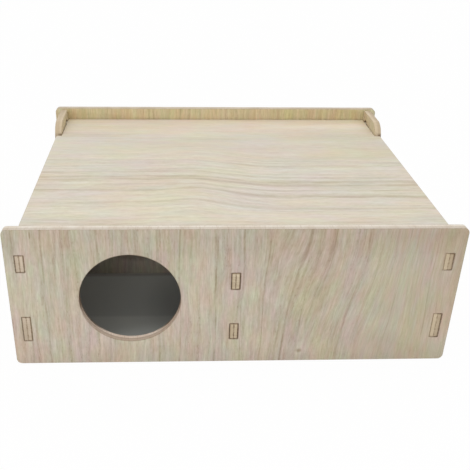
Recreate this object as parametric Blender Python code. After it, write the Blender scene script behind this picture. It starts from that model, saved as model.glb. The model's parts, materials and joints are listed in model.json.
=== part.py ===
"""Hamster house made of seven laser-cut boards.

Two end panels take the through tenons of two side panels and a divider, a cross wall splits the left half
into two rooms, and a lid tips up on two tabs that turn in holes in the side panels' ears. Metres, +Z up.
The front faces -Y. The origin is on the ground, under the middle of the house.
"""

import math

import bmesh
import bpy
from mathutils import Vector

COLLECTION_NAME = "hamster_house"

# Board and fits
BOARD = 0.0050
FIT_GAP = 0.00025

# Overall sizes
HOUSE_WIDTH = 0.2660
REAR_END_INSET = 0.0015
HOUSE_DEPTH = 0.2115
FRONT_HEIGHT = 0.0925
REAR_RISE = 0.0049
PANEL_CORNER_RADIUS = 0.0032

# Side panels and inner walls
SIDE_INSET = 0.0060
INNER_WALL_DROP = 0.0031
CROSS_WALL_PLACE_SHARE = 0.522

# Tenons
TENON_MARGIN = 0.0170
TENON_HEIGHT = 0.0110
LONG_TENON_HEIGHT = 0.0170
SIDE_TENON_DROP = 0.0165

# Ears
EAR_LENGTH = 0.0390
EAR_RISE = 0.0078
EAR_RADIUS = 0.0120

# Lid
LID_RECESS = 0.0038
LID_FRONT_GAP = 0.0006
LID_REAR_GAP = 0.0010
LID_SIDE_INSET = 0.0015
LID_EAR_GAP = 0.0005
LID_SHOULDER_GAP = 0.0018
LID_CORNER_RADIUS = 0.0010

# Pivot
PIVOT_SETBACK = 0.0090
PIVOT_TAB_LENGTH = 0.0050
PIVOT_TAB_INSET = 0.0005
PIVOT_CLEARANCE = 0.0007

# Relief in the divider for the lid's tail
RELIEF_CLEARANCE = 0.0015
RELIEF_FILLET = 0.0050

# Round openings
ENTRANCE_RADIUS = 0.0300
PASSAGE_RADIUS = 0.0300

# Share of an inner wall's height outside its passage that lies below it
PASSAGE_SILL_SHARE = 0.757

# Facets
DOOR_SEGMENTS = 72
PIVOT_SEGMENTS = 32
FILLET_STEPS = 10

# Distance within which the edges of a board's faces and rim are one edge
WELD_DISTANCE = 0.00001

# Worked out from the sizes above
FRONT_FACE_Y = -HOUSE_DEPTH / 2
REAR_FACE_Y = HOUSE_DEPTH / 2
INNER_FRONT_Y = FRONT_FACE_Y + BOARD
INNER_REAR_Y = REAR_FACE_Y - BOARD
REAR_HEIGHT = FRONT_HEIGHT + REAR_RISE
SIDE_OUTER_X = HOUSE_WIDTH / 2 - SIDE_INSET
SIDE_INNER_X = SIDE_OUTER_X - BOARD
SIDE_CENTRE_X = SIDE_OUTER_X - BOARD / 2
LID_TOP_Z = FRONT_HEIGHT - LID_RECESS
LID_UNDER_Z = LID_TOP_Z - BOARD
SIDE_TOP_Z = LID_UNDER_Z - FIT_GAP
INNER_WALL_TOP_Z = LID_UNDER_Z - INNER_WALL_DROP
EAR_TOP_Z = LID_TOP_Z + EAR_RISE
EAR_FRONT_Y = INNER_REAR_Y - EAR_LENGTH
PIVOT_Y = INNER_REAR_Y - PIVOT_SETBACK
PIVOT_Z = LID_TOP_Z - BOARD / 2
PIVOT_HOLE_RADIUS = math.hypot(PIVOT_TAB_LENGTH, BOARD) / 2 + PIVOT_CLEARANCE
TAIL_SWING_RADIUS = math.hypot(PIVOT_SETBACK - LID_REAR_GAP, BOARD / 2)
CROSS_WALL_Y = INNER_FRONT_Y + CROSS_WALL_PLACE_SHARE * (INNER_REAR_Y - INNER_FRONT_Y)
LEFT_ROOM_CENTRE_X = -(SIDE_INNER_X + BOARD / 2) / 2
REAR_ROOM_CENTRE_Y = (CROSS_WALL_Y + BOARD / 2 + INNER_REAR_Y) / 2
PASSAGE_Z = PASSAGE_RADIUS + PASSAGE_SILL_SHARE * (INNER_WALL_TOP_Z - 2 * PASSAGE_RADIUS)

# Heights of the tenons, as (bottom, top) pairs from the lowest up
SIDE_TENONS = (
    (TENON_MARGIN, TENON_MARGIN + LONG_TENON_HEIGHT),
    (FRONT_HEIGHT - SIDE_TENON_DROP - TENON_HEIGHT, FRONT_HEIGHT - SIDE_TENON_DROP),
)
INNER_TENONS = (
    (TENON_MARGIN, TENON_MARGIN + TENON_HEIGHT),
    (INNER_WALL_TOP_Z - TENON_MARGIN - TENON_HEIGHT, INNER_WALL_TOP_Z - TENON_MARGIN),
)

# Turns a board's plane upright: facing the front, and facing a side
FACING_FRONT = (math.radians(90), 0, 0)
FACING_SIDE = (math.radians(90), 0, math.radians(90))
LYING_FLAT = (0, 0, 0)

# Board colours, linear RGB
FRONT_COLOUR = (0.51, 0.44, 0.36)
REAR_COLOUR = (0.52, 0.42, 0.25)
SIDE_COLOUR = (0.50, 0.43, 0.33)
INNER_COLOUR = (0.55, 0.47, 0.36)
LID_COLOUR = (0.68, 0.61, 0.50)
BOARD_ROUGHNESS = 0.6


def clear_scene():
    """Remove what the scene holds."""
    for scene_object in list(bpy.data.objects):
        bpy.data.objects.remove(scene_object, do_unlink=True)


def make_collection(name):
    """Return a new collection in the scene."""
    collection = bpy.data.collections.new(name)
    bpy.context.scene.collection.children.link(collection)
    return collection


def board_material(name, colour):
    """Return a plain matt finish in the board's colour."""
    material = bpy.data.materials.new(name)
    material.use_nodes = True
    shader = material.node_tree.nodes["Principled BSDF"]
    shader.inputs["Base Color"].default_value = (*colour, 1)
    shader.inputs["Roughness"].default_value = BOARD_ROUGHNESS
    shader.inputs["Metallic"].default_value = 0
    return material


def circle(centre, radius, segments):
    """Return the points of a round hole."""
    points = []
    for step in range(segments):
        angle = math.tau * step / segments
        points.append(Vector(centre) + radius * Vector((math.cos(angle), math.sin(angle))))
    return points


def rectangle(low, high, margin):
    """Return the corners of an upright rectangle, grown by a margin on every side."""
    left, bottom = low[0] - margin, low[1] - margin
    right, top = high[0] + margin, high[1] + margin
    return [Vector((left, bottom)), Vector((right, bottom)), Vector((right, top)), Vector((left, top))]


def fillet(before, corner, after, radius):
    """Return the points of an arc that rounds one corner of an outline."""
    to_before = (before - corner).normalized()
    to_after = (after - corner).normalized()
    half_angle = to_before.angle(to_after) / 2
    centre = corner + (to_before + to_after).normalized() * radius / math.sin(half_angle)
    start = corner + to_before * radius / math.tan(half_angle) - centre
    end = corner + to_after * radius / math.tan(half_angle) - centre
    sweep = math.remainder(math.atan2(end.y, end.x) - math.atan2(start.y, start.x), math.tau)
    points = []
    for step in range(FILLET_STEPS + 1):
        angle = math.atan2(start.y, start.x) + sweep * step / FILLET_STEPS
        points.append(centre + radius * Vector((math.cos(angle), math.sin(angle))))
    return points


def outline(corners):
    """Return an outline's points from its corners, each given as (u, v, fillet radius)."""
    places = [Vector(corner[:2]) for corner in corners]
    points = []
    for index, (_, _, radius) in enumerate(corners):
        if radius:
            following = places[(index + 1) % len(places)]
            points.extend(fillet(places[index - 1], places[index], following, radius))
        else:
            points.append(places[index])
    return points


def tenon_steps(edge, tip, heights, rising):
    """Return the sharp corners of the tenons along an upright edge, bottom up or top down."""
    corners = []
    for bottom, top in heights:
        corners.extend([(edge, bottom, 0), (tip, bottom, 0), (tip, top, 0), (edge, top, 0)])
    return corners if rising else corners[::-1]


def mortises(centre, heights):
    """Return the slots that take one board's tenons, centred on that board."""
    slots = []
    for bottom, top in heights:
        slots.append(rectangle((centre - BOARD / 2, bottom), (centre + BOARD / 2, top), FIT_GAP))
    return slots


def cut_board(collection, name, edge_points, holes, rotation, location, colour):
    """Cut one board from an outline and its holes, and stand it in its place."""
    curve = bpy.data.curves.new(name, "CURVE")
    curve.dimensions = "2D"
    curve.fill_mode = "BOTH"
    curve.extrude = BOARD / 2
    for points in [edge_points] + holes:
        spline = curve.splines.new("POLY")
        spline.points.add(len(points) - 1)
        for spline_point, point in zip(spline.points, points):
            spline_point.co = (point.x, point.y, 0, 1)
        spline.use_cyclic_u = True
    board = bpy.data.objects.new(name, curve)
    board.rotation_euler = rotation
    board.location = location
    collection.objects.link(board)
    curve.materials.append(board_material(name + "_board", colour))
    return as_mesh(collection, board)


def as_mesh(collection, board):
    """Replace a board's curve by a closed mesh of the same name and place."""
    bpy.context.view_layer.update()
    evaluated = board.evaluated_get(bpy.context.evaluated_depsgraph_get())
    mesh = bpy.data.meshes.new_from_object(evaluated)
    cleaned = bmesh.new()
    cleaned.from_mesh(mesh)
    bmesh.ops.remove_doubles(cleaned, verts=cleaned.verts, dist=WELD_DISTANCE)
    bmesh.ops.recalc_face_normals(cleaned, faces=cleaned.faces)
    cleaned.to_mesh(mesh)
    cleaned.free()
    name = board.name
    place = board.matrix_world.copy()
    bpy.data.objects.remove(board, do_unlink=True)
    solid = bpy.data.objects.new(name, mesh)
    solid.matrix_world = place
    collection.objects.link(solid)
    return solid


def end_panel_outline(width, height):
    """Return the rounded rectangle of the front or rear panel."""
    half_width = width / 2
    return outline([
        (-half_width, 0, PANEL_CORNER_RADIUS),
        (half_width, 0, PANEL_CORNER_RADIUS),
        (half_width, height, PANEL_CORNER_RADIUS),
        (-half_width, height, PANEL_CORNER_RADIUS),
    ])


def end_panel_mortises():
    """Return the slots of the front or rear panel: side panel, divider, side panel."""
    slots = mortises(-SIDE_CENTRE_X, SIDE_TENONS)
    slots += mortises(0, INNER_TENONS)
    slots += mortises(SIDE_CENTRE_X, SIDE_TENONS)
    return slots


def make_front_panel(collection):
    """Front panel with the round entrance into the left half."""
    entrance = circle((LEFT_ROOM_CENTRE_X, FRONT_HEIGHT / 2), ENTRANCE_RADIUS, DOOR_SEGMENTS)
    place = (0, FRONT_FACE_Y + BOARD / 2, 0)
    holes = [entrance] + end_panel_mortises()
    edge = end_panel_outline(HOUSE_WIDTH, FRONT_HEIGHT)
    cut_board(collection, "front_panel", edge, holes, FACING_FRONT, place, FRONT_COLOUR)


def make_rear_panel(collection):
    """Rear panel, which stands higher than the lid."""
    place = (0, REAR_FACE_Y - BOARD / 2, 0)
    edge = end_panel_outline(HOUSE_WIDTH - 2 * REAR_END_INSET, REAR_HEIGHT)
    cut_board(collection, "rear_panel", edge, end_panel_mortises(), FACING_FRONT, place, REAR_COLOUR)


def side_panel_outline():
    """Return a side panel's outline: tenons front and rear, and the raised ear at the rear."""
    front = INNER_FRONT_Y + FIT_GAP
    rear = INNER_REAR_Y - FIT_GAP
    corners = [(front, 0, 0), (rear, 0, 0)]
    corners += tenon_steps(rear, REAR_FACE_Y, SIDE_TENONS, rising=True)
    corners += [
        (rear, EAR_TOP_Z, 0),
        (EAR_FRONT_Y, EAR_TOP_Z, EAR_RADIUS),
        (EAR_FRONT_Y, SIDE_TOP_Z, 0),
        (front, SIDE_TOP_Z, 0),
    ]
    corners += tenon_steps(front, FRONT_FACE_Y, SIDE_TENONS, rising=False)
    return outline(corners)


def make_side_panels(collection):
    """Left and right side panels; the left one also holds the cross wall."""
    pivot_hole = circle((PIVOT_Y, PIVOT_Z), PIVOT_HOLE_RADIUS, PIVOT_SEGMENTS)
    left_holes = [pivot_hole] + mortises(CROSS_WALL_Y, INNER_TENONS)
    for name, centre_x, holes in (
        ("left_side_panel", -SIDE_CENTRE_X, left_holes),
        ("right_side_panel", SIDE_CENTRE_X, [pivot_hole]),
    ):
        cut_board(collection, name, side_panel_outline(), holes, FACING_SIDE, (centre_x, 0, 0), SIDE_COLOUR)


def make_center_divider(collection):
    """Divider from front to rear, cut back at the top rear where the lid's tail swings down."""
    front = INNER_FRONT_Y + FIT_GAP
    rear = INNER_REAR_Y - FIT_GAP
    relief_reach = TAIL_SWING_RADIUS + RELIEF_CLEARANCE
    corners = [(front, 0, 0), (rear, 0, 0)]
    corners += tenon_steps(rear, REAR_FACE_Y, INNER_TENONS, rising=True)
    corners += [
        (rear, PIVOT_Z - relief_reach, 0),
        (PIVOT_Y - relief_reach, PIVOT_Z - relief_reach, RELIEF_FILLET),
        (PIVOT_Y - relief_reach, INNER_WALL_TOP_Z, 0),
        (front, INNER_WALL_TOP_Z, 0),
    ]
    corners += tenon_steps(front, FRONT_FACE_Y, INNER_TENONS, rising=False)
    passage = circle((REAR_ROOM_CENTRE_Y, PASSAGE_Z), PASSAGE_RADIUS, DOOR_SEGMENTS)
    holes = [passage] + mortises(CROSS_WALL_Y, INNER_TENONS)
    cut_board(collection, "center_divider", outline(corners), holes, FACING_SIDE, (0, 0, 0), INNER_COLOUR)


def make_cross_wall(collection):
    """Wall across the left half, tenoned into the left side panel and the divider."""
    left = -SIDE_INNER_X + FIT_GAP
    right = -BOARD / 2 - FIT_GAP
    corners = [(left, 0, 0), (right, 0, 0)]
    corners += tenon_steps(right, BOARD / 2, INNER_TENONS, rising=True)
    corners += [(right, INNER_WALL_TOP_Z, 0), (left, INNER_WALL_TOP_Z, 0)]
    corners += tenon_steps(left, -SIDE_OUTER_X, INNER_TENONS, rising=False)
    passage = circle((LEFT_ROOM_CENTRE_X, PASSAGE_Z), PASSAGE_RADIUS, DOOR_SEGMENTS)
    place = (0, CROSS_WALL_Y, 0)
    cut_board(collection, "cross_wall", outline(corners), [passage], FACING_FRONT, place, INNER_COLOUR)


def make_lid(collection):
    """Lid with its origin on the pivot axis: wide over the side panels, narrow between the ears."""
    wide = SIDE_OUTER_X - LID_SIDE_INSET
    narrow = SIDE_INNER_X - LID_EAR_GAP
    tab_tip = SIDE_OUTER_X - PIVOT_TAB_INSET
    front = INNER_FRONT_Y + LID_FRONT_GAP - PIVOT_Y
    shoulder = EAR_FRONT_Y - LID_SHOULDER_GAP - PIVOT_Y
    tail = PIVOT_SETBACK - LID_REAR_GAP
    half_tab = PIVOT_TAB_LENGTH / 2
    right_half = [
        (wide, front, LID_CORNER_RADIUS),
        (wide, shoulder, LID_CORNER_RADIUS),
        (narrow, shoulder, 0),
        (narrow, -half_tab, 0),
        (tab_tip, -half_tab, 0),
        (tab_tip, half_tab, 0),
        (narrow, half_tab, 0),
        (narrow, tail, LID_CORNER_RADIUS),
    ]
    left_half = [(-across, along, radius) for across, along, radius in reversed(right_half)]
    place = (0, PIVOT_Y, PIVOT_Z)
    cut_board(collection, "lid", outline(right_half + left_half), [], LYING_FLAT, place, LID_COLOUR)


def main():
    """Build the house."""
    clear_scene()
    house = make_collection(COLLECTION_NAME)
    make_front_panel(house)
    make_rear_panel(house)
    make_side_panels(house)
    make_center_divider(house)
    make_cross_wall(house)
    make_lid(house)


main()
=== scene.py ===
"""Looks for the hamster house: grained boards with layered, scorched edges, a pale studio and the camera."""

import json
import math

import bmesh
import bpy
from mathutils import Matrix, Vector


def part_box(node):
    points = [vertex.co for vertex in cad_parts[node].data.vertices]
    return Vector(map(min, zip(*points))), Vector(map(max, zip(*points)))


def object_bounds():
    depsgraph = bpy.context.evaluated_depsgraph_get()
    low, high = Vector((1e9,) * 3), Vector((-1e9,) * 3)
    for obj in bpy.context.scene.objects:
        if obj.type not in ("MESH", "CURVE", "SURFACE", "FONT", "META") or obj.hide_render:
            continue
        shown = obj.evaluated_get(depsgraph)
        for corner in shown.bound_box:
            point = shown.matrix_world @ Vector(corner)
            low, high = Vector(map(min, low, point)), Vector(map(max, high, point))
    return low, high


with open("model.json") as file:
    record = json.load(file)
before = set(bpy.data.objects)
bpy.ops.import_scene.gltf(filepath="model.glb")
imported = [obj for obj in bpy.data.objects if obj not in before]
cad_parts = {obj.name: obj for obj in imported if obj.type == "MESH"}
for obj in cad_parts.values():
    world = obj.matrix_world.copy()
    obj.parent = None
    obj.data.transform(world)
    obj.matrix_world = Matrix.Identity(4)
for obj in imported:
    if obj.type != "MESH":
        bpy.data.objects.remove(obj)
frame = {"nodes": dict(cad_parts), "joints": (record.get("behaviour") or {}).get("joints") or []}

# Photograph's camera: place in metres, turns in degrees, shifts as shares of the image's width
CAMERA_PLACE = (-0.0374, -0.4546, 0.2717)
CAMERA_TILT = 61.913
CAMERA_ROLL = -0.896
CAMERA_TURN = -2.214
CAMERA_SHIFT_SHARES = (0.0725, 0.0118)
SENSOR_MM = 36.0
LENS_MM = 53.5

# Studio: each lamp's name, place in metres, size in metres and power in watts
HORIZON_STRENGTH = 0.62
ZENITH_STRENGTH = 1.35
BACKDROP_STRENGTH = 1.0
LAMPS = (
    ("key_lamp", (-0.37, -0.70, 1.27), 0.2, 2.2),
    ("front_lamp", (-0.15, -1.15, 0.36), 0.5, 2.0),
)
FLOOR_REACH = 4.0
FLOOR_BEND_RADIUS = 1.2
FLOOR_BEND_STEPS = 24
FLOOR_ROUGHNESS = 0.9
FLOOR_SHARE_OF_WHITE = 0.97
# Painted glow: a faint light that the floor inside the house gives off for the rays the camera sees
FLOOR_PAINTED_GLOW_INSIDE = 0.018

# Mesh finish: how near points are joined, how wide corners are broken, and the angles that tell them apart
WELD_M = 0.00001
CORNER_M = 0.00012
FLAT_DEGREES = 0.5
ROUND_DEGREES = 25
CORNER_DEGREES = 30

# Lengths from here on are millimetres, which the material graphs use. Where something eases in or out, its
# numbers are the start and the end, and then the values there if they are not 0 and 1
MM = 1000.0
HALF_BOARD = 2.5

# Floor inside the house: its margin at the sides, the painted contact shade at the cross wall's foot, and the
# places of painted shade where less light falls, of which the corner is an oval with a centre and half sizes
FLOOR_SIDE_MARGIN = 5.0
FLOOR_OUTLINE_SOFTNESS = 1.0
CONTACT_SHADE_REACH = (6.0, 1.5)
CONTACT_SHADE_END = (1.0, -1.0)
CONTACT_SHADE_SHARE = 0.5
DIM_NEAR_EDGE = (-57.5, -53.5)
DIM_FAR_EDGE = (-8.0, -50.0)
DIM_SHARE = 0.2
DIM_CORNER = (-34.0, -35.0, 28.0, 55.0)
DIM_CORNER_SHARE = 0.3

# Joints: the tenons' bottoms and tops, how burnt their outlines are on the left and on the right, and how
# far to the right the cross wall's joints can be
SIDE_TENONS = ((17.0, 34.0), (65.0, 76.0))
INNER_TENONS = ((17.0, 28.0), (52.6, 63.6))
LEFT_JOINT_BURN = (0.7, 0.85)
MIDDLE_JOINT_BURN = (0.85, 1.0)
RIGHT_JOINT_BURN = (0.3, 1.0)
JOINT_BURN_CORE = 0.1
JOINT_BURN_REACH = 0.85
JOINT_ROUNDING = 0.6
CROSS_WALL_JOINTS_END = (40.0, 20.0)

# Round entrance in the front panel, and its burns by distance, depth and rise. A rise is the height above the
# entrance's centre as a share of its radius
ENTRANCE_CENTRE = (-62.25, 46.25)
ENTRANCE_RADIUS = 30.0
ENTRANCE_WALL_REACH = (1.0, 0.5)
ENTRANCE_PLY_DEPTHS = (0.0, 0.8)
OUTLINE_BURN_REACH = (0.78, 0.18)
OUTLINE_BURN_RISE = (-0.9, -0.3, 0.4, 0.2)
INNER_BURN_DEPTHS = (0.2, 1.6)
INNER_BURN_RISE = (-0.94, -0.65, 0.0, 0.85)
UPPER_BURN_RISE = (-0.45, 0.0, 0.0, 0.85)

# Ears: the burns in and round the pivot holes, and the burn with painted shade at the foot of the ears'
# rounds
PIVOT_HOLE_RADIUS = 4.24
PIVOT_BURN = (1.2, 0.2, 0.0, 0.6)
EAR_FOOT_BURN_AND_SHADE = (90.6, 88.0, 0.0, 0.8)
EAR_FOOT_START = (60.0, 61.0)
EAR_FOOT_END = (67.0, 66.0)
EAR_FOOT_SIDES = (-1.0, 1.5, 0.3, 1.0)

# Grain's noises: seed step, sizes across and along the grain, and detail
GRAIN_NOISES = {
    "bends": (0.0, 34.0, 85.0, 1.0),
    "ripples": (1.3, 9.0, 24.0, 1.0),
    "broad": (2.1, 11.0, 120.0, 1.0),
    "streaks": (3.7, 1.9, 30.0, 2.0),
    "flecks": (4.6, 0.9, 4.0, 1.0),
    "fibres": (5.2, 0.5, 11.0, 1.0),
    "patches": (6.4, 9.0, 60.0, 1.0),
    "wear": (7.7, 3.0, 22.0, 1.0),
    "pores": (8.9, 0.26, 2.6, 1.0),
}
TINT_SEED_STEP = 9.5
TINT_LIMITS = (-0.2, 0.2)
RIPPLE_SHARE = 0.18
RING_SPREAD = 2.4
RING_START = 40.0
LINE_WAVER = 0.9

# Late wood's start and end in a ring from 0 to 1, and the noise limits that make it patchy, wear the growth
# lines and open the pores
LATE_WOOD_START = (0.35, 0.93)
LATE_WOOD_END = (0.94, 1.0)
PATCHY_LIMITS = (-0.12, 0.16)
WORN_LIMITS = (-0.2, 0.1, 0.25, 1.0)
PORE_PLACES = (0.0, 0.8, 0.3, 1.0)
PORE_LIMITS = (0.09, 0.19)

# Relief of the grain's parts in millimetres, and what they add to the roughness
FACE_HEIGHTS = (("pores", -0.04), ("fibres", 0.014), ("streaks", 0.014), ("late", -0.008))
ROUGHNESS = 0.56
FACE_ROUGHNESSES = (("fibres", 0.18), ("pores", 0.15))
SPECULAR = 0.35
BUMP_STRENGTH = 0.6

# Cut edges: the beam's marks per millimetre, the sizes and limits of what varies, and the relief in
# millimetres
BEAM_MARKS_ACROSS = 1.6
BEAM_MARKS_THROUGH = 0.15
BEAM_LIMITS = (0.5, 0.75)
WAVER_SIZE = 1.1
WAVER = 0.9
BLOTCH_SIZE = 1.7
BLOTCH_LIMITS = (0.3, 0.6, 0.35, 1.0)
GLUE_CORE = 0.1
PLY_TONE_SIZE = 11.0
PLY_TONE_LIMITS = (0.35, 0.65)
BEAM_RELIEF = -0.06
GLUE_RELIEF = -0.02

# Scorch: how square to a direction a face is, how alike directions are at a corner, the size of the uneven
# noise, and what it does to the burn's reach from corners and to its share at joints
FACING = (0.6, 0.8)
CORNER_SAMPLES = 6
CORNER_LIKENESS = (0.995, 0.86)
UNEVEN_SIZE = 2.0
CORNER_BURN_REACHES = (0.3, 0.7, 0.35, 0.8)
JOINT_BURN_SHARES = (0.3, 0.6, 0.65, 0.95)

# Grain's drifts: how far it moves, and where the movement starts and ends
LEAN = 13.0
LEAN_START = (5.0, 45.0)
LEAN_END = (84.0, 118.0)
LEAN_HEIGHTS = (0.0, 96.0)
SWIRL_STEP = 11.0
SWIRL_START = (-92.0, -62.0)
SWIRL_END = (14.0, 48.0)
SWIRL_SPAN = (-24.0, 34.0)
SWIRL_RISE = 4.0
SWIRL_RISE_REACH = 30.0
SWIRL_RISE_FADE = (-20.0, -44.0, 0.3, 1.0)

# Main growth lines: places across the grain, reaches and strengths
FRONT_LINES = (
    (-111, 0.9, 0.7), (-98, 0.7, 0.5), (-73, 0.8, 0.6), (-46, 0.8, 0.6), (-33, 0.9, 0.9), (-12, 1.2, 1.0),
    (4, 0.7, 0.6), (16, 0.8, 0.7), (29, 1.2, 1.0), (43, 0.8, 0.6), (64, 1.0, 0.7), (92, 0.9, 0.6),
    (117, 0.8, 0.6),
)
LID_LINES = (
    (8, 2.8, 0.4), (-12, 3.0, 0.5), (-20, 3.4, 0.9), (-25, 3.4, 0.8), (-34, 2.8, 0.5), (-43, 3.4, 0.9),
    (-62, 3.2, 0.4),
)

# Where an oval eases in, as shares of its half sizes
OVAL_EDGE = (1.0, 0.1)

# Marks: place across and up, half width and height, and strength, below 0 for a pale one
FRONT_MARKS = ((41.0, 8.0, 7.0, 8.0, -0.2), (41.0, 7.5, 2.8, 2.4, 0.75), (-117.0, 89.0, 0.7, 3.0, 0.8))
CROSS_WALL_MARKS = ((-62.0, 17.0, 36.0, 8.0, 0.9),)

# Tinted patches: place across and along the grain, half sizes, and the tint that multiplies the colour
FRONT_PATCHES = (
    (101.0, 37.0, 21.0, 38.0, (0.98, 1.035, 1.0, 1.0)),
    (133.0, 68.0, 10.0, 52.0, (0.86, 0.87, 0.85, 1.0)),
)
REAR_PATCHES = (
    (-131.0, 98.0, 9.0, 30.0, (1.02, 1.08, 1.22, 1.0)),
    (131.0, 98.0, 9.0, 30.0, (1.02, 1.08, 1.22, 1.0)),
)
LID_PATCHES = (
    (22.0, 96.0, 26.0, 48.0, (1.0, 0.99, 0.84, 1.0)),
    (94.0, 110.0, 14.0, 70.0, (0.98, 0.99, 0.91, 1.0)),
)


def linear(red, green, blue):
    """Return a display colour, given as 0 to 255, as linear RGBA."""
    shares = []
    for value in (red, green, blue):
        share = value / 255
        shares.append(share / 12.92 if share <= 0.04045 else ((share + 0.055) / 1.055) ** 2.4)
    return (*shares, 1)


# Colours, and the tints that drift over them as (one, other, size across, size along)
WHITE = (1.0, 1.0, 1.0, 1.0)
BLACK = (0.0, 0.0, 0.0, 1.0)
# The floor inside the house is greyer than outside: painted shade
FLOOR_INSIDE = linear(191, 194, 189)
FLOOR_OUTSIDE = linear(228, 227, 225)
PORE = linear(120, 98, 74)
SCORCH_AND_SHADE = linear(112, 86, 58)
# Scorch brown of the boards, also the colour of the floor's painted contact shade
CHAR_AND_SHADE = linear(92, 64, 36)
# Char brown of the cuts, also the colour of the painted shade at the ears' feet
ROSY = (1.0, 0.94, 0.945, 1.0)
GREENISH = (0.95, 1.0, 0.94, 1.0)
WARM = (1.0, 0.985, 0.90, 1.0)
COOL = (0.975, 0.98, 1.0, 1.0)
ENTRANCE_TINT = (1.07, 0.96, 0.9, 1.0)
# The entrance's inner ply: partly its tone, partly a painted highlight
ENTRANCE_INNER_TINT_AND_HIGHLIGHT = (1.5, 1.38, 1.34, 1.0)
TINTS = (
    (ROSY, GREENISH, 3.2, 13.0),
    (ROSY, GREENISH, 15.0, 34.0),
    (WARM, COOL, 6.0, 22.0),
    (WARM, COOL, 26.0, 60.0),
)


class Graph:
    """A shader node tree, built from short calls."""

    def __init__(self, tree):
        self.nodes = tree.nodes
        self.links = tree.links

    def feed(self, socket, value):
        """Link a socket to another node's output, or set its value."""
        if isinstance(value, bpy.types.NodeSocket):
            self.links.new(value, socket)
        else:
            socket.default_value = value

    def add(self, kind, output, inputs, **settings):
        """Add a node, feed its inputs and return one output."""
        node = self.nodes.new(kind)
        for key, value in settings.items():
            setattr(node, key, value)
        for key, value in inputs.items():
            self.feed(node.inputs[key], value)
        return node.outputs[output]

    def math(self, operation, *values):
        """Return the result of a math node."""
        return self.add("ShaderNodeMath", 0, dict(enumerate(values)), operation=operation)

    def total(self, *values):
        """Return a sum."""
        result = values[0]
        for value in values[1:]:
            result = self.math("ADD", result, value)
        return result

    def scaled(self, value, *factors):
        """Return a value times each factor."""
        for factor in factors:
            value = self.math("MULTIPLY", value, factor)
        return value

    def most(self, *values):
        """Return the highest value."""
        result = values[0]
        for value in values[1:]:
            result = self.math("MAXIMUM", result, value)
        return result

    def length(self, across, up):
        """Return the length of a step with two parts."""
        return self.math("SQRT", self.total(self.scaled(across, across), self.scaled(up, up)))

    def distance(self, value, place):
        """Return how far a value is from a place."""
        return self.math("ABSOLUTE", self.math("SUBTRACT", value, place))

    def ease(self, value, start, end, low=0.0, high=1.0):
        """Return a value that eases from low at start to high at end. Start may be above end."""
        if not isinstance(end, bpy.types.NodeSocket) and start > end:
            start, end, low, high = end, start, high, low
        inputs = {"Value": value, "From Min": start, "From Max": end, "To Min": low, "To Max": high}
        return self.add("ShaderNodeMapRange", 0, inputs, interpolation_type="SMOOTHSTEP")

    def point(self, x, y, z):
        """Return a vector."""
        return self.add("ShaderNodeCombineXYZ", 0, {0: x, 1: y, 2: z})

    def noise(self, across, along, seed, size_across, size_along, detail=1.0):
        """Return noise around 0, about -0.5 to 0.5, with features of the sizes given."""
        vector = self.point(self.scaled(across, 1 / size_across), self.scaled(along, 1 / size_along), seed)
        inputs = {"Vector": vector, "Scale": 1.0, "Detail": detail}
        return self.math("SUBTRACT", self.add("ShaderNodeTexNoise", 0, inputs), 0.5)

    def spots(self, place, size):
        """Return noise from 0 to 1 with features of one size in every direction."""
        inputs = {"Vector": self.point(*place), "Scale": 1 / size, "Detail": 2.0}
        return self.add("ShaderNodeTexNoise", 0, inputs)

    def mix(self, share, first, second, blend="MIX"):
        """Return a colour that goes from first to second, or another blend of the two."""
        inputs = {0: share, 6: first, 7: second}
        return self.add("ShaderNodeMix", 2, inputs, data_type="RGBA", blend_type=blend)

    def rays_that_see(self):
        """Return 1 for rays from the camera, and for those that it sees in gloss or through glass."""
        path = self.nodes.new("ShaderNodeLightPath")
        kinds = ("Is Camera Ray", "Is Glossy Ray", "Is Transmission Ray")
        return self.most(*[path.outputs[kind] for kind in kinds])


def new_material(name):
    """Return a new node material, its graph and its shader node."""
    material = bpy.data.materials.new(name)
    material.use_nodes = True
    return material, Graph(material.node_tree), material.node_tree.nodes["Principled BSDF"]


def object_axes(graph):
    """Return the object's x, y and z in millimetres, and its face direction's parts without sign."""
    coordinates = graph.nodes.new("ShaderNodeTexCoord")
    inputs = {"Vector": coordinates.outputs["Object"], "Scale": MM}
    scaled = graph.add("ShaderNodeVectorMath", 0, inputs, operation="SCALE")
    place = graph.nodes.new("ShaderNodeSeparateXYZ")
    graph.links.new(scaled, place.inputs[0])
    facing = graph.nodes.new("ShaderNodeSeparateXYZ")
    graph.links.new(coordinates.outputs["Normal"], facing.inputs[0])
    facings = [graph.math("ABSOLUTE", socket) for socket in facing.outputs]
    return list(place.outputs), facings


def middle(node, axis):
    """Return the place of a node's middle along one axis, in millimetres."""
    low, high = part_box(node)
    return (low[axis] + high[axis]) / 2 * MM


def make_camera():
    """The photograph's camera."""
    data = bpy.data.cameras.new("photo_camera")
    data.sensor_width = SENSOR_MM
    data.lens = LENS_MM
    data.shift_x, data.shift_y = CAMERA_SHIFT_SHARES
    camera = bpy.data.objects.new("photo_camera", data)
    camera.location = CAMERA_PLACE
    camera.rotation_euler = [math.radians(turn) for turn in (CAMERA_TILT, CAMERA_ROLL, CAMERA_TURN)]
    bpy.context.scene.collection.objects.link(camera)
    bpy.context.scene.camera = camera


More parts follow.
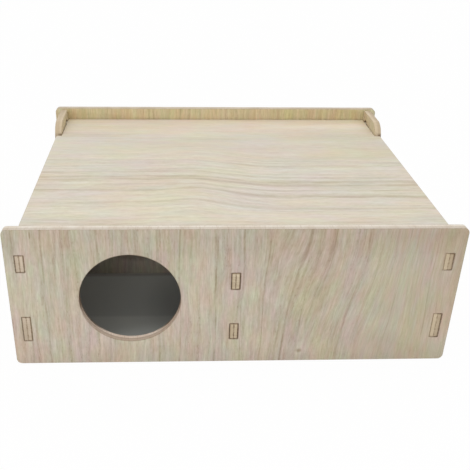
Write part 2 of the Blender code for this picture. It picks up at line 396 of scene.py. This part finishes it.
def make_lights():
    """A pale surround that is brightest overhead, and two weak lamps before the front, high and low."""
    world = bpy.data.worlds.new("studio")
    bpy.context.scene.world = world
    world.use_nodes = True
    graph = Graph(world.node_tree)
    direction = graph.nodes.new("ShaderNodeSeparateXYZ")
    graph.feed(direction.inputs[0], graph.nodes.new("ShaderNodeTexCoord").outputs["Generated"])
    upward = graph.most(direction.outputs[2], 0.0)
    overhead = graph.scaled(upward, upward, ZENITH_STRENGTH - HORIZON_STRENGTH)
    studio = graph.math("ADD", overhead, HORIZON_STRENGTH)
    seen = graph.rays_that_see()
    unseen = graph.math("SUBTRACT", 1.0, seen)
    background = graph.nodes["Background"]
    graph.feed(background.inputs["Color"], WHITE)
    strength = graph.total(graph.scaled(studio, unseen), graph.scaled(seen, BACKDROP_STRENGTH))
    graph.feed(background.inputs["Strength"], strength)
    for name, place, size, power in LAMPS:
        data = bpy.data.lights.new(name, "AREA")
        data.energy = power
        data.size = size
        lamp = bpy.data.objects.new(name, data)
        lamp.location = place
        lamp.rotation_euler = (-lamp.location).to_track_quat("-Z", "Y").to_euler()
        bpy.context.scene.collection.objects.link(lamp)


def floor_material():
    """Pale floor that the camera sees as nearly white round the house, and inside it as a darker grey:
    painted shade, with a faint painted glow.
    """
    material, graph, shader = new_material("pale_floor")
    (x, y, _), _ = object_axes(graph)
    _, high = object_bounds()
    side = high.x * MM - FLOOR_SIDE_MARGIN
    end = high.y * MM
    across = graph.ease(graph.math("ABSOLUTE", x), side - FLOOR_OUTLINE_SOFTNESS, side)
    along = graph.ease(graph.math("ABSOLUTE", y), end - FLOOR_OUTLINE_SOFTNESS, end)
    outside = graph.most(across, along)
    seen = graph.rays_that_see()
    # Painted glow of the inside floor, for the rays the camera sees
    painted_glow = graph.scaled(graph.math("SUBTRACT", 1.0, outside), seen, FLOOR_PAINTED_GLOW_INSIDE)
    wall = middle("cross_wall", 1) - HALF_BOARD
    # Painted contact shade: on the left, the floor turns scorch brown along the cross wall's foot
    painted_foot_shade = graph.ease(graph.distance(y, wall), *CONTACT_SHADE_REACH)
    inside = graph.mix(graph.scaled(painted_foot_shade, graph.ease(x, *CONTACT_SHADE_END), CONTACT_SHADE_SHARE), FLOOR_INSIDE, SCORCH_AND_SHADE)
    # Painted shade: the inside floor is darker behind the patch that the entrance lets light onto, and in an
    # oval to the right
    dim = graph.scaled(graph.ease(y, *DIM_NEAR_EDGE), graph.ease(y, *DIM_FAR_EDGE), DIM_SHARE)
    inside = graph.mix(dim, inside, BLACK)
    inside = graph.mix(graph.scaled(oval(graph, x, y, *DIM_CORNER), DIM_CORNER_SHARE), inside, BLACK)
    graph.feed(shader.inputs["Base Color"], graph.mix(outside, inside, FLOOR_OUTSIDE))
    graph.feed(shader.inputs["Roughness"], FLOOR_ROUGHNESS)
    graph.feed(shader.inputs["Specular IOR Level"], 0.0)
    graph.feed(shader.inputs["Emission Color"], WHITE)
    graph.feed(shader.inputs["Emission Strength"], painted_glow)
    share = graph.scaled(seen, outside, FLOOR_SHARE_OF_WHITE)
    white = graph.add("ShaderNodeEmission", 0, {})
    both = graph.add("ShaderNodeMixShader", 0, {0: share, 1: shader.outputs[0], 2: white})
    graph.feed(graph.nodes["Material Output"].inputs[0], both)
    return material


def make_floor():
    """A studio floor that bends up into a backdrop behind the house."""
    profile = [(-FLOOR_REACH, 0.0), (FLOOR_REACH / 2, 0.0)]
    for step in range(1, FLOOR_BEND_STEPS + 1):
        angle = math.pi / 2 * step / FLOOR_BEND_STEPS
        forward, up = math.sin(angle), 1 - math.cos(angle)
        profile.append((FLOOR_REACH / 2 + FLOOR_BEND_RADIUS * forward, FLOOR_BEND_RADIUS * up))
    built = bmesh.new()
    rows = [[built.verts.new((side * FLOOR_REACH, y, z)) for side in (-1, 1)] for y, z in profile]
    for near, far in zip(rows, rows[1:]):
        built.faces.new((near[0], near[1], far[1], far[0]))
    mesh = bpy.data.meshes.new("studio_floor")
    built.to_mesh(mesh)
    built.free()
    mesh.shade_smooth()
    mesh.materials.append(floor_material())
    floor = bpy.data.objects.new("studio_floor", mesh)
    bpy.context.scene.collection.objects.link(floor)


def geometry_group(name):
    """Return a new geometry node group with a mesh in and a mesh out, and its two end nodes."""
    group = bpy.data.node_groups.new(name, "GeometryNodeTree")
    group.interface.new_socket("Geometry", in_out="INPUT", socket_type="NodeSocketGeometry")
    group.interface.new_socket("Geometry", in_out="OUTPUT", socket_type="NodeSocketGeometry")
    return group, group.nodes.new("NodeGroupInput"), group.nodes.new("NodeGroupOutput")


def cleaning_group():
    """Node group that joins a mesh's loose triangles and drops their stored normals."""
    group, start, end = geometry_group("join_faces")
    drop = group.nodes.new("GeometryNodeRemoveAttribute")
    drop.inputs["Name"].default_value = "custom_normal"
    weld = group.nodes.new("GeometryNodeMergeByDistance")
    weld.inputs["Distance"].default_value = WELD_M
    group.links.new(start.outputs[0], drop.inputs[0])
    group.links.new(drop.outputs[0], weld.inputs[0])
    group.links.new(weld.outputs[0], end.inputs[0])
    return group


def smoothing_group():
    """Node group that shades round walls smooth and keeps the boards' corners sharp."""
    group, start, end = geometry_group("smooth_round_walls")
    faces = group.nodes.new("GeometryNodeSetShadeSmooth")
    edges = group.nodes.new("GeometryNodeSetShadeSmooth")
    edges.domain = "EDGE"
    angle = group.nodes.new("GeometryNodeInputMeshEdgeAngle")
    flat_enough = group.nodes.new("FunctionNodeCompare")
    flat_enough.operation = "LESS_EQUAL"
    flat_enough.inputs[1].default_value = math.radians(ROUND_DEGREES)
    group.links.new(start.outputs[0], faces.inputs["Geometry"])
    group.links.new(faces.outputs[0], edges.inputs["Geometry"])
    group.links.new(angle.outputs[0], flat_enough.inputs[0])
    group.links.new(flat_enough.outputs[0], edges.inputs["Shade Smooth"])
    group.links.new(edges.outputs[0], end.inputs[0])
    return group


def finish_mesh(node, cleaning, smoothing):
    """Join a board's triangles into whole faces, break its corners slightly and shade it."""
    clean = node.modifiers.new("clean", "NODES")
    clean.node_group = cleaning
    whole = node.modifiers.new("whole_faces", "DECIMATE")
    whole.decimate_type = "DISSOLVE"
    whole.angle_limit = math.radians(FLAT_DEGREES)
    corner = node.modifiers.new("corner", "BEVEL")
    corner.width = CORNER_M
    corner.segments = 2
    corner.limit_method = "ANGLE"
    corner.angle_limit = math.radians(CORNER_DEGREES)
    smooth = node.modifiers.new("smooth", "NODES")
    smooth.node_group = smoothing


def growth_lines(graph, grain, lines):
    """Return how dark the named growth lines are, from 0 to 1."""
    darkness = 0.0
    for place, reach, strength in lines:
        line = graph.ease(graph.distance(grain, place), 0.0, reach, strength, 0.0)
        darkness = graph.math("MAXIMUM", darkness, line)
    return darkness


def oval(graph, across, along, centre_across, centre_along, half_width, half_height):
    """Return 1 in the middle of an oval, easing to 0 at its outline."""
    sideways = graph.scaled(graph.math("SUBTRACT", across, centre_across), 1 / half_width)
    lengthways = graph.scaled(graph.math("SUBTRACT", along, centre_along), 1 / half_height)
    return graph.ease(graph.length(sideways, lengthways), *OVAL_EDGE)


def marks_shade(graph, across, along, marks):
    """Return how much the named marks darken a face, below 0 where they pale it."""
    shade = 0.0
    for *outline, strength in marks:
        shade = graph.math("ADD", shade, graph.scaled(oval(graph, across, along, *outline), strength))
    return shade


def patched(graph, colour, across, along, patches):
    """Tint a colour in the named patches."""
    for *outline, tint in patches:
        share = oval(graph, across, along, *outline)
        colour = graph.mix(share, colour, graph.mix(1.0, colour, tint, "MULTIPLY"))
    return colour


def front_drift(graph, across, along):
    """Grain on the front panel leans to the left towards the bottom in the right half."""
    window = graph.scaled(graph.ease(across, *LEAN_START), graph.ease(across, *LEAN_END, 1.0, 0.0))
    return graph.scaled(window, graph.ease(along, *LEAN_HEIGHTS), -LEAN)


def lid_drift(graph, across, along):
    """Grain on the lid steps towards the front in the middle, after a small rise."""
    near = graph.ease(across, *SWIRL_START)
    far = graph.ease(across, *SWIRL_END, 1.0, 0.0)
    step = graph.scaled(graph.ease(along, *SWIRL_SPAN), near, far, SWIRL_STEP)
    hump = graph.ease(graph.distance(along, SWIRL_SPAN[0]), 0.0, SWIRL_RISE_REACH, 1.0, 0.0)
    rise = graph.scaled(hump, graph.ease(across, *SWIRL_RISE_FADE), near, SWIRL_RISE)
    return graph.math("SUBTRACT", step, rise)


def tinted(graph, colour, grain, along, look):
    """Let a colour drift between rosy and greenish, and between warm and cool."""
    for step, (one, other, size_across, size_along) in enumerate(TINTS):
        seed = look["seed"] + TINT_SEED_STEP + step
        patches = graph.noise(grain, along, seed, size_across, size_along, 2.0)
        tint = graph.mix(graph.ease(patches, *TINT_LIMITS), one, other)
        colour = graph.mix(look["tints"][step], colour, tint, "MULTIPLY")
    return colour


def grain_noise(graph, across, along, look, name):
    """Return one of the grain's noises."""
    seed_step, size_across, size_along, detail = GRAIN_NOISES[name]
    return graph.noise(across, along, look["seed"] + seed_step, size_across, size_along, detail)


def grain_place(graph, across, along, look):
    """Return the place across the grain, after its bends, ripples and drift."""
    bends = graph.scaled(grain_noise(graph, across, along, look, "bends"), look["wander"])
    ripples = graph.scaled(grain_noise(graph, across, along, look, "ripples"), look["wander"] * RIPPLE_SHARE)
    grain = graph.total(across, bends, ripples)
    if look["drift"]:
        grain = graph.math("ADD", grain, look["drift"](graph, across, along))
    return grain


def grain_parts(graph, grain, along, look):
    """Return the grain's broad tones, streaks, flecks, fibres, late wood, growth lines and pores by name."""
    names = ("broad", "streaks", "flecks", "fibres", "patches", "wear", "pores")
    noises = {name: grain_noise(graph, grain, along, look, name) for name in names}
    spread = graph.scaled(noises["broad"], RING_SPREAD)
    phase = graph.math("FRACT", graph.total(graph.scaled(grain, 1 / look["ring"]), spread, RING_START))
    patchy = graph.ease(noises["patches"], *PATCHY_LIMITS)
    ending = graph.ease(phase, *LATE_WOOD_END, 1.0, 0.0)
    late = graph.scaled(graph.ease(phase, *LATE_WOOD_START), ending, patchy)
    wavy = graph.math("ADD", grain, graph.scaled(noises["streaks"], LINE_WAVER))
    worn = graph.ease(noises["wear"], *WORN_LIMITS)
    lines = graph.scaled(growth_lines(graph, wavy, look["lines"]), worn)
    pore_places = graph.ease(graph.math("MAXIMUM", late, lines), *PORE_PLACES)
    pores = graph.scaled(graph.ease(noises["pores"], *PORE_LIMITS), pore_places)
    return {**noises, "late": late, "lines": lines, "pores": pores}


def face_shade(graph, across, along, parts, lively, look):
    """Return how dark a board face is, from 0 to 1."""
    start, end, rim = look["rim"]
    shade = graph.total(
        look["shade"],
        graph.ease(along, start, end, 0.0, rim),
        graph.scaled(parts["broad"], look["broad"]),
        graph.scaled(parts["streaks"], lively, look["streaks"]),
        graph.scaled(parts["flecks"], lively, look["flecks"]),
        graph.scaled(parts["fibres"], look["fibres"]),
        graph.scaled(parts["late"], lively, look["late"]),
        graph.scaled(parts["lines"], look["line"]),
        marks_shade(graph, across, along, look["marks"]),
    )
    return graph.math("MINIMUM", graph.math("MAXIMUM", shade, 0.0), 1.0)


def face_look(graph, across, along, look):
    """Return a board face's colour, height and roughness from its grain."""
    grain = grain_place(graph, across, along, look)
    parts = grain_parts(graph, grain, along, look)
    start, end, calm = look["calm"]
    lively = graph.ease(grain, start, end, 1.0, calm)
    shade = face_shade(graph, across, along, parts, lively, look)
    colour = graph.mix(shade, look["light"], look["dark"])
    colour = tinted(graph, colour, grain, along, look)
    colour = patched(graph, colour, across, along, look["patches"])
    colour = graph.mix(graph.scaled(parts["pores"], lively, look["pores"]), colour, PORE)
    # The fade multiplies the colour towards one end across the grain: painted light that brightens the lid's
    # rear, and a darkening towards the front panel's right
    start, end, faded = look["fade"]
    colour = graph.mix(graph.ease(across, start, end), colour, graph.mix(1.0, colour, faded, "MULTIPLY"))
    height = graph.total(*[graph.scaled(parts[name], rise) for name, rise in FACE_HEIGHTS])
    roughness = graph.total(ROUGHNESS, *[graph.scaled(parts[name], more) for name, more in FACE_ROUGHNESSES])
    return colour, height, roughness


def edge_look(graph, place, through_axis, through, look):
    """Return a cut edge's colour and height: two pale plies, the line between them and the beam's marks."""
    marks = [BEAM_MARKS_ACROSS] * 3
    marks[through_axis] = BEAM_MARKS_THROUGH
    beam = graph.spots([graph.scaled(value, per_mm) for value, per_mm in zip(place, marks)], 1.0)
    waver = graph.scaled(graph.math("SUBTRACT", graph.spots(place, WAVER_SIZE), 0.5), WAVER)
    depth = graph.math("ABSOLUTE", graph.math("ADD", through, waver))
    blotches = graph.ease(graph.spots(place, BLOTCH_SIZE), *BLOTCH_LIMITS)
    start, end = look["tenon_ends"]
    at_end = graph.ease(graph.math("ABSOLUTE", place[1]), start, end)
    share = graph.ease(at_end, 0.0, 1.0, look["glue_share"], look["tenon_share"])
    centre = graph.scaled(graph.ease(depth, GLUE_CORE, look["glue_reach"], 1.0, 0.0), blotches, share)
    tone = graph.ease(graph.spots(place, PLY_TONE_SIZE), *PLY_TONE_LIMITS)
    colour = graph.mix(tone, look["ply"], look["ply_dark"])
    colour = graph.mix(graph.ease(beam, *BEAM_LIMITS, 0.0, look["beam"]), colour, look["glue"])
    colour = graph.mix(centre, colour, look["glue"])
    colour = graph.mix(at_end, colour, graph.mix(1.0, colour, look["tenon_tint"], "MULTIPLY"))
    exit_depth = graph.scaled(through, look["exit_side"])
    start, end = look["exit_reach"]
    colour = graph.mix(graph.ease(exit_depth, start, end, 0.0, look["exit_burn"]), colour, SCORCH_AND_SHADE)
    height = graph.total(graph.scaled(beam, BEAM_RELIEF), graph.scaled(centre, GLUE_RELIEF))
    return colour, height


def sharpness(graph, reach):
    """Return 1 at the board's sharp edges, easing to 0 at the reach given, in millimetres."""
    rounded = graph.add("ShaderNodeBevel", 0, {"Radius": graph.scaled(reach, 1 / MM)}, samples=CORNER_SAMPLES)
    flat = graph.nodes.new("ShaderNodeNewGeometry").outputs["Normal"]
    likeness = graph.add("ShaderNodeVectorMath", 1, {0: rounded, 1: flat}, operation="DOT_PRODUCT")
    return graph.ease(likeness, *CORNER_LIKENESS)


def rectangle_distance(graph, across, up, centre, half_width, bottom, top):
    """Return the distance from the outline of an upright rectangle with slightly round corners."""
    half_height = (top - bottom) / 2
    sideways = graph.math("SUBTRACT", graph.distance(across, centre), half_width - JOINT_ROUNDING)
    upwards = graph.math("SUBTRACT", graph.distance(up, bottom + half_height), half_height - JOINT_ROUNDING)
    outside = graph.length(graph.most(sideways, 0.0), graph.most(upwards, 0.0))
    inside = graph.math("MINIMUM", graph.most(sideways, upwards), 0.0)
    return graph.distance(graph.math("ADD", outside, inside), JOINT_ROUNDING)


def joint_burn(graph, place, facings):
    """Return how burnt a place is by the cut of the nearest mortise or tenon, from 0 to 1."""
    x, y, z = place
    facing_side_at_left = graph.scaled(facings[0], graph.ease(x, *CROSS_WALL_JOINTS_END))
    joints = (
        (facings[1], x, middle("left_side_panel", 0), SIDE_TENONS, LEFT_JOINT_BURN),
        (facings[1], x, middle("center_divider", 0), INNER_TENONS, MIDDLE_JOINT_BURN),
        (facings[1], x, middle("right_side_panel", 0), SIDE_TENONS, RIGHT_JOINT_BURN),
        (facing_side_at_left, y, middle("cross_wall", 1), INNER_TENONS, MIDDLE_JOINT_BURN),
    )
    burn = 0.0
    for facing, across, centre, tenons, (left, right) in joints:
        distances = [
            rectangle_distance(graph, across, z, centre, HALF_BOARD, bottom, top) for bottom, top in tenons
        ]
        strength = graph.ease(across, centre - HALF_BOARD, centre + HALF_BOARD, left, right)
        reach = graph.scaled(strength, JOINT_BURN_REACH)
        near = graph.ease(graph.math("MINIMUM", *distances), JOINT_BURN_CORE, reach, 1.0, 0.0)
        near = graph.scaled(near, strength, graph.ease(facing, *FACING))
        burn = graph.math("MAXIMUM", burn, near)
    return burn


def entrance_look(graph, colour, place, on_face):
    """Tint the entrance's cut wall, its inner ply partly with a painted highlight, and burn its outline, its
    rear edge and its upper half.
    """
    across = graph.math("SUBTRACT", place[0], ENTRANCE_CENTRE[0])
    up = graph.math("SUBTRACT", place[2], ENTRANCE_CENTRE[1])
    distance = graph.distance(graph.length(across, up), ENTRANCE_RADIUS)
    cut = graph.scaled(graph.ease(distance, *ENTRANCE_WALL_REACH), graph.math("SUBTRACT", 1.0, on_face))
    depth = graph.math("SUBTRACT", place[1], middle("front_panel", 1))
    # The inner ply's brighter tint is partly its tone and partly a painted highlight
    tint = graph.mix(graph.ease(depth, *ENTRANCE_PLY_DEPTHS), ENTRANCE_TINT, ENTRANCE_INNER_TINT_AND_HIGHLIGHT)
    colour = graph.mix(cut, colour, graph.mix(1.0, colour, tint, "MULTIPLY"))
    rise = graph.scaled(up, 1 / ENTRANCE_RADIUS)
    outline = graph.scaled(
        graph.ease(distance, *OUTLINE_BURN_REACH), on_face, graph.ease(rise, *OUTLINE_BURN_RISE)
    )
    inner = graph.scaled(graph.ease(depth, *INNER_BURN_DEPTHS), graph.ease(rise, *INNER_BURN_RISE), cut)
    upper = graph.scaled(graph.ease(rise, *UPPER_BURN_RISE), cut)
    return graph.mix(graph.most(outline, inner, upper), colour, CHAR_AND_SHADE)


def ear_burn_and_shade(graph, place, side, on_face):
    """Return how burnt a side panel is in its pivot hole and round it, and how dark the foot of the ear's
    round is from burn and painted shade.
    """
    _, pivot_y, pivot_z = [value * MM for value in frame["joints"][0]["pos_m"]]
    across = graph.math("SUBTRACT", place[1], pivot_y)
    up = graph.math("SUBTRACT", place[2], pivot_z)
    hole = graph.ease(graph.distance(graph.length(across, up), PIVOT_HOLE_RADIUS), *PIVOT_BURN)
    # The foot's darkness is partly burn and partly painted shade in the gap before the ear's round, next to
    # the lid
    painted_foot_shade = graph.scaled(
        graph.ease(place[2], *EAR_FOOT_BURN_AND_SHADE),
        graph.ease(place[1], *EAR_FOOT_START),
        graph.ease(place[1], *EAR_FOOT_END),
        graph.ease(graph.math("SUBTRACT", place[0], side), *EAR_FOOT_SIDES),
        graph.math("SUBTRACT", 1.0, on_face),
    )
    return graph.most(hole, painted_foot_shade)


def board_material(name, look):
    """A board's printed grain faces and its layered cut edges, scorched where they meet."""
    material, graph, shader = new_material(name)
    place, facings = object_axes(graph)
    across_axis, along_axis, through_axis = ["XYZ".index(letter) for letter in look["axes"]]
    through = graph.math("SUBTRACT", place[through_axis], middle(look["node"], through_axis))
    face_colour, face_height, face_roughness = face_look(graph, place[across_axis], place[along_axis], look)
    edge_colour, edge_height = edge_look(graph, place, through_axis, through, look)
    on_face = graph.ease(facings[through_axis], *FACING)
    colour = graph.mix(on_face, edge_colour, face_colour)
    height = graph.total(
        graph.scaled(face_height, on_face),
        graph.scaled(edge_height, graph.math("SUBTRACT", 1.0, on_face)),
    )
    uneven = graph.spots(place, UNEVEN_SIZE)
    corners = sharpness(graph, graph.ease(uneven, *CORNER_BURN_REACHES))
    colour = graph.mix(graph.scaled(corners, look["burn"]), colour, SCORCH_AND_SHADE)
    joints = graph.scaled(joint_burn(graph, place, facings), graph.ease(uneven, *JOINT_BURN_SHARES))
    colour = graph.mix(joints, colour, CHAR_AND_SHADE)
    if look["node"] == "front_panel":
        colour = entrance_look(graph, colour, place, on_face)
    if look["node"] in ("left_side_panel", "right_side_panel"):
        colour = graph.mix(ear_burn_and_shade(graph, place, middle(look["node"], 0), on_face), colour, CHAR_AND_SHADE)
    graph.feed(shader.inputs["Base Color"], colour)
    graph.feed(shader.inputs["Roughness"], face_roughness)
    relief = {"Height": height, "Distance": 1 / MM, "Strength": BUMP_STRENGTH}
    graph.feed(shader.inputs["Normal"], graph.add("ShaderNodeBump", 0, relief))
    graph.feed(shader.inputs["Specular IOR Level"], SPECULAR)
    return material


def looks():
    """Return each board's look by node name. Axes are the ones across, along and through the grain."""
    nowhere = (200.0, 210.0)
    shared = {
        "wander": 7.0, "ring": 5.5, "drift": None, "lines": (), "marks": (), "patches": (),
        "calm": (*nowhere, 1.0), "fade": (*nowhere, WHITE), "rim": (*nowhere, 0.0),
        "tints": (0.9, 0.9, 0.9, 0.5),
        "shade": 0.36, "broad": 0.3, "streaks": 0.72, "flecks": 0.48, "fibres": 0.6, "late": 0.2,
        "line": 0.45, "pores": 0.4, "light": linear(212, 203, 187), "dark": linear(163, 147, 125),
        "ply": linear(222, 207, 178), "ply_dark": linear(205, 188, 158), "glue": linear(112, 90, 64),
        "glue_reach": 0.55, "glue_share": 0.9, "tenon_share": 0.9, "tenon_ends": (99.0, 102.0),
        "tenon_tint": WHITE, "beam": 0.35, "burn": 0.6,
        "exit_side": -1.0, "exit_reach": (-1.5, 2.3), "exit_burn": 0.15,
    }
    side = {
        **shared, "axes": "YZX", "light": linear(224, 209, 182), "dark": linear(180, 163, 135),
        "tints": (0.6, 0.6, 0.6, 0.4),
        "ply": linear(208, 190, 162), "ply_dark": linear(198, 180, 151), "glue": linear(126, 102, 74),
        "glue_share": 0.08, "tenon_share": 0.8, "beam": 0.12,
    }
    inner = {**shared, "light": linear(194, 186, 179), "dark": linear(146, 136, 127)}
    return {
        "front_panel": {
            **shared, "axes": "XZY", "seed": 3.0, "drift": front_drift, "lines": FRONT_LINES,
            "marks": FRONT_MARKS, "patches": FRONT_PATCHES, "calm": (64.0, 86.0, 0.42),
            "fade": (-70.0, 125.0, (0.93, 0.905, 0.865, 1.0)), "rim": (68.0, 92.0, 0.2),
            "tints": (1.0, 1.0, 1.0, 0.6),
            "light": linear(211, 203, 196), "dark": linear(161, 147, 131),
            "ply": linear(224, 216, 203), "ply_dark": linear(216, 205, 189), "glue": linear(176, 150, 126),
            "glue_share": 0.25, "tenon_share": 0.25, "exit_reach": (-0.9, 0.7), "exit_burn": 0.29,
        },
        # Rear panel: yellower than the other boards, partly its tone and partly painted bounce light from the
        # lid
        "rear_panel": {
            **shared, "axes": "XZY", "seed": 23.0, "patches": REAR_PATCHES,
            "light": linear(220, 206, 171), "dark": linear(170, 151, 115),
            "ply": linear(208, 195, 175), "ply_dark": linear(194, 180, 158), "glue": linear(170, 152, 128),
        },
        "left_side_panel": {
            **side, "seed": 43.0, "exit_reach": (-2.5, 0.5), "exit_burn": 0.15,
            "tenon_tint": (0.93, 0.95, 1.04, 1.0),
        },
        "right_side_panel": {
            **side, "seed": 63.0, "exit_side": 1.0, "exit_reach": (-0.4, 0.8), "exit_burn": 0.24,
            "tenon_tint": (0.87, 0.87, 0.87, 1.0),
        },
        "center_divider": {
            **inner, "axes": "YZX", "seed": 83.0, "tenon_tint": (0.84, 0.83, 0.84, 1.0),
        },
        "cross_wall": {**inner, "axes": "XZY", "seed": 103.0, "marks": CROSS_WALL_MARKS},
        # Lid: lighter than the front panel, partly its tone and partly painted light on its upward face; its
        # fade is painted light that brightens the rear
        "lid": {
            **shared, "axes": "YXZ", "seed": 123.0, "drift": lid_drift, "lines": LID_LINES, "wander": 4.0,
            "calm": (14.0, 30.0, 0.45), "fade": (48.0, 99.0, (1.13, 1.07, 1.03, 1.0)), "patches": LID_PATCHES,
            "tints": (0.4, 0.65, 0.65, 0.8),
            "light": linear(223, 217, 209), "dark": linear(187, 176, 160), "broad": 0.5, "streaks": 0.58,
            "line": 0.55, "pores": 0.15,
        },
    }


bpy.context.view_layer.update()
make_camera()
make_lights()
make_floor()
cleaning = cleaning_group()
smoothing = smoothing_group()
board_looks = looks()
for name, node in frame["nodes"].items():
    finish_mesh(node, cleaning, smoothing)
    node.data.materials.clear()
    node.data.materials.append(board_material(name + "_wood", {"node": name, **board_looks[name]}))
bpy.context.scene.view_settings.view_transform = "Standard"
bpy.context.view_layer.update()
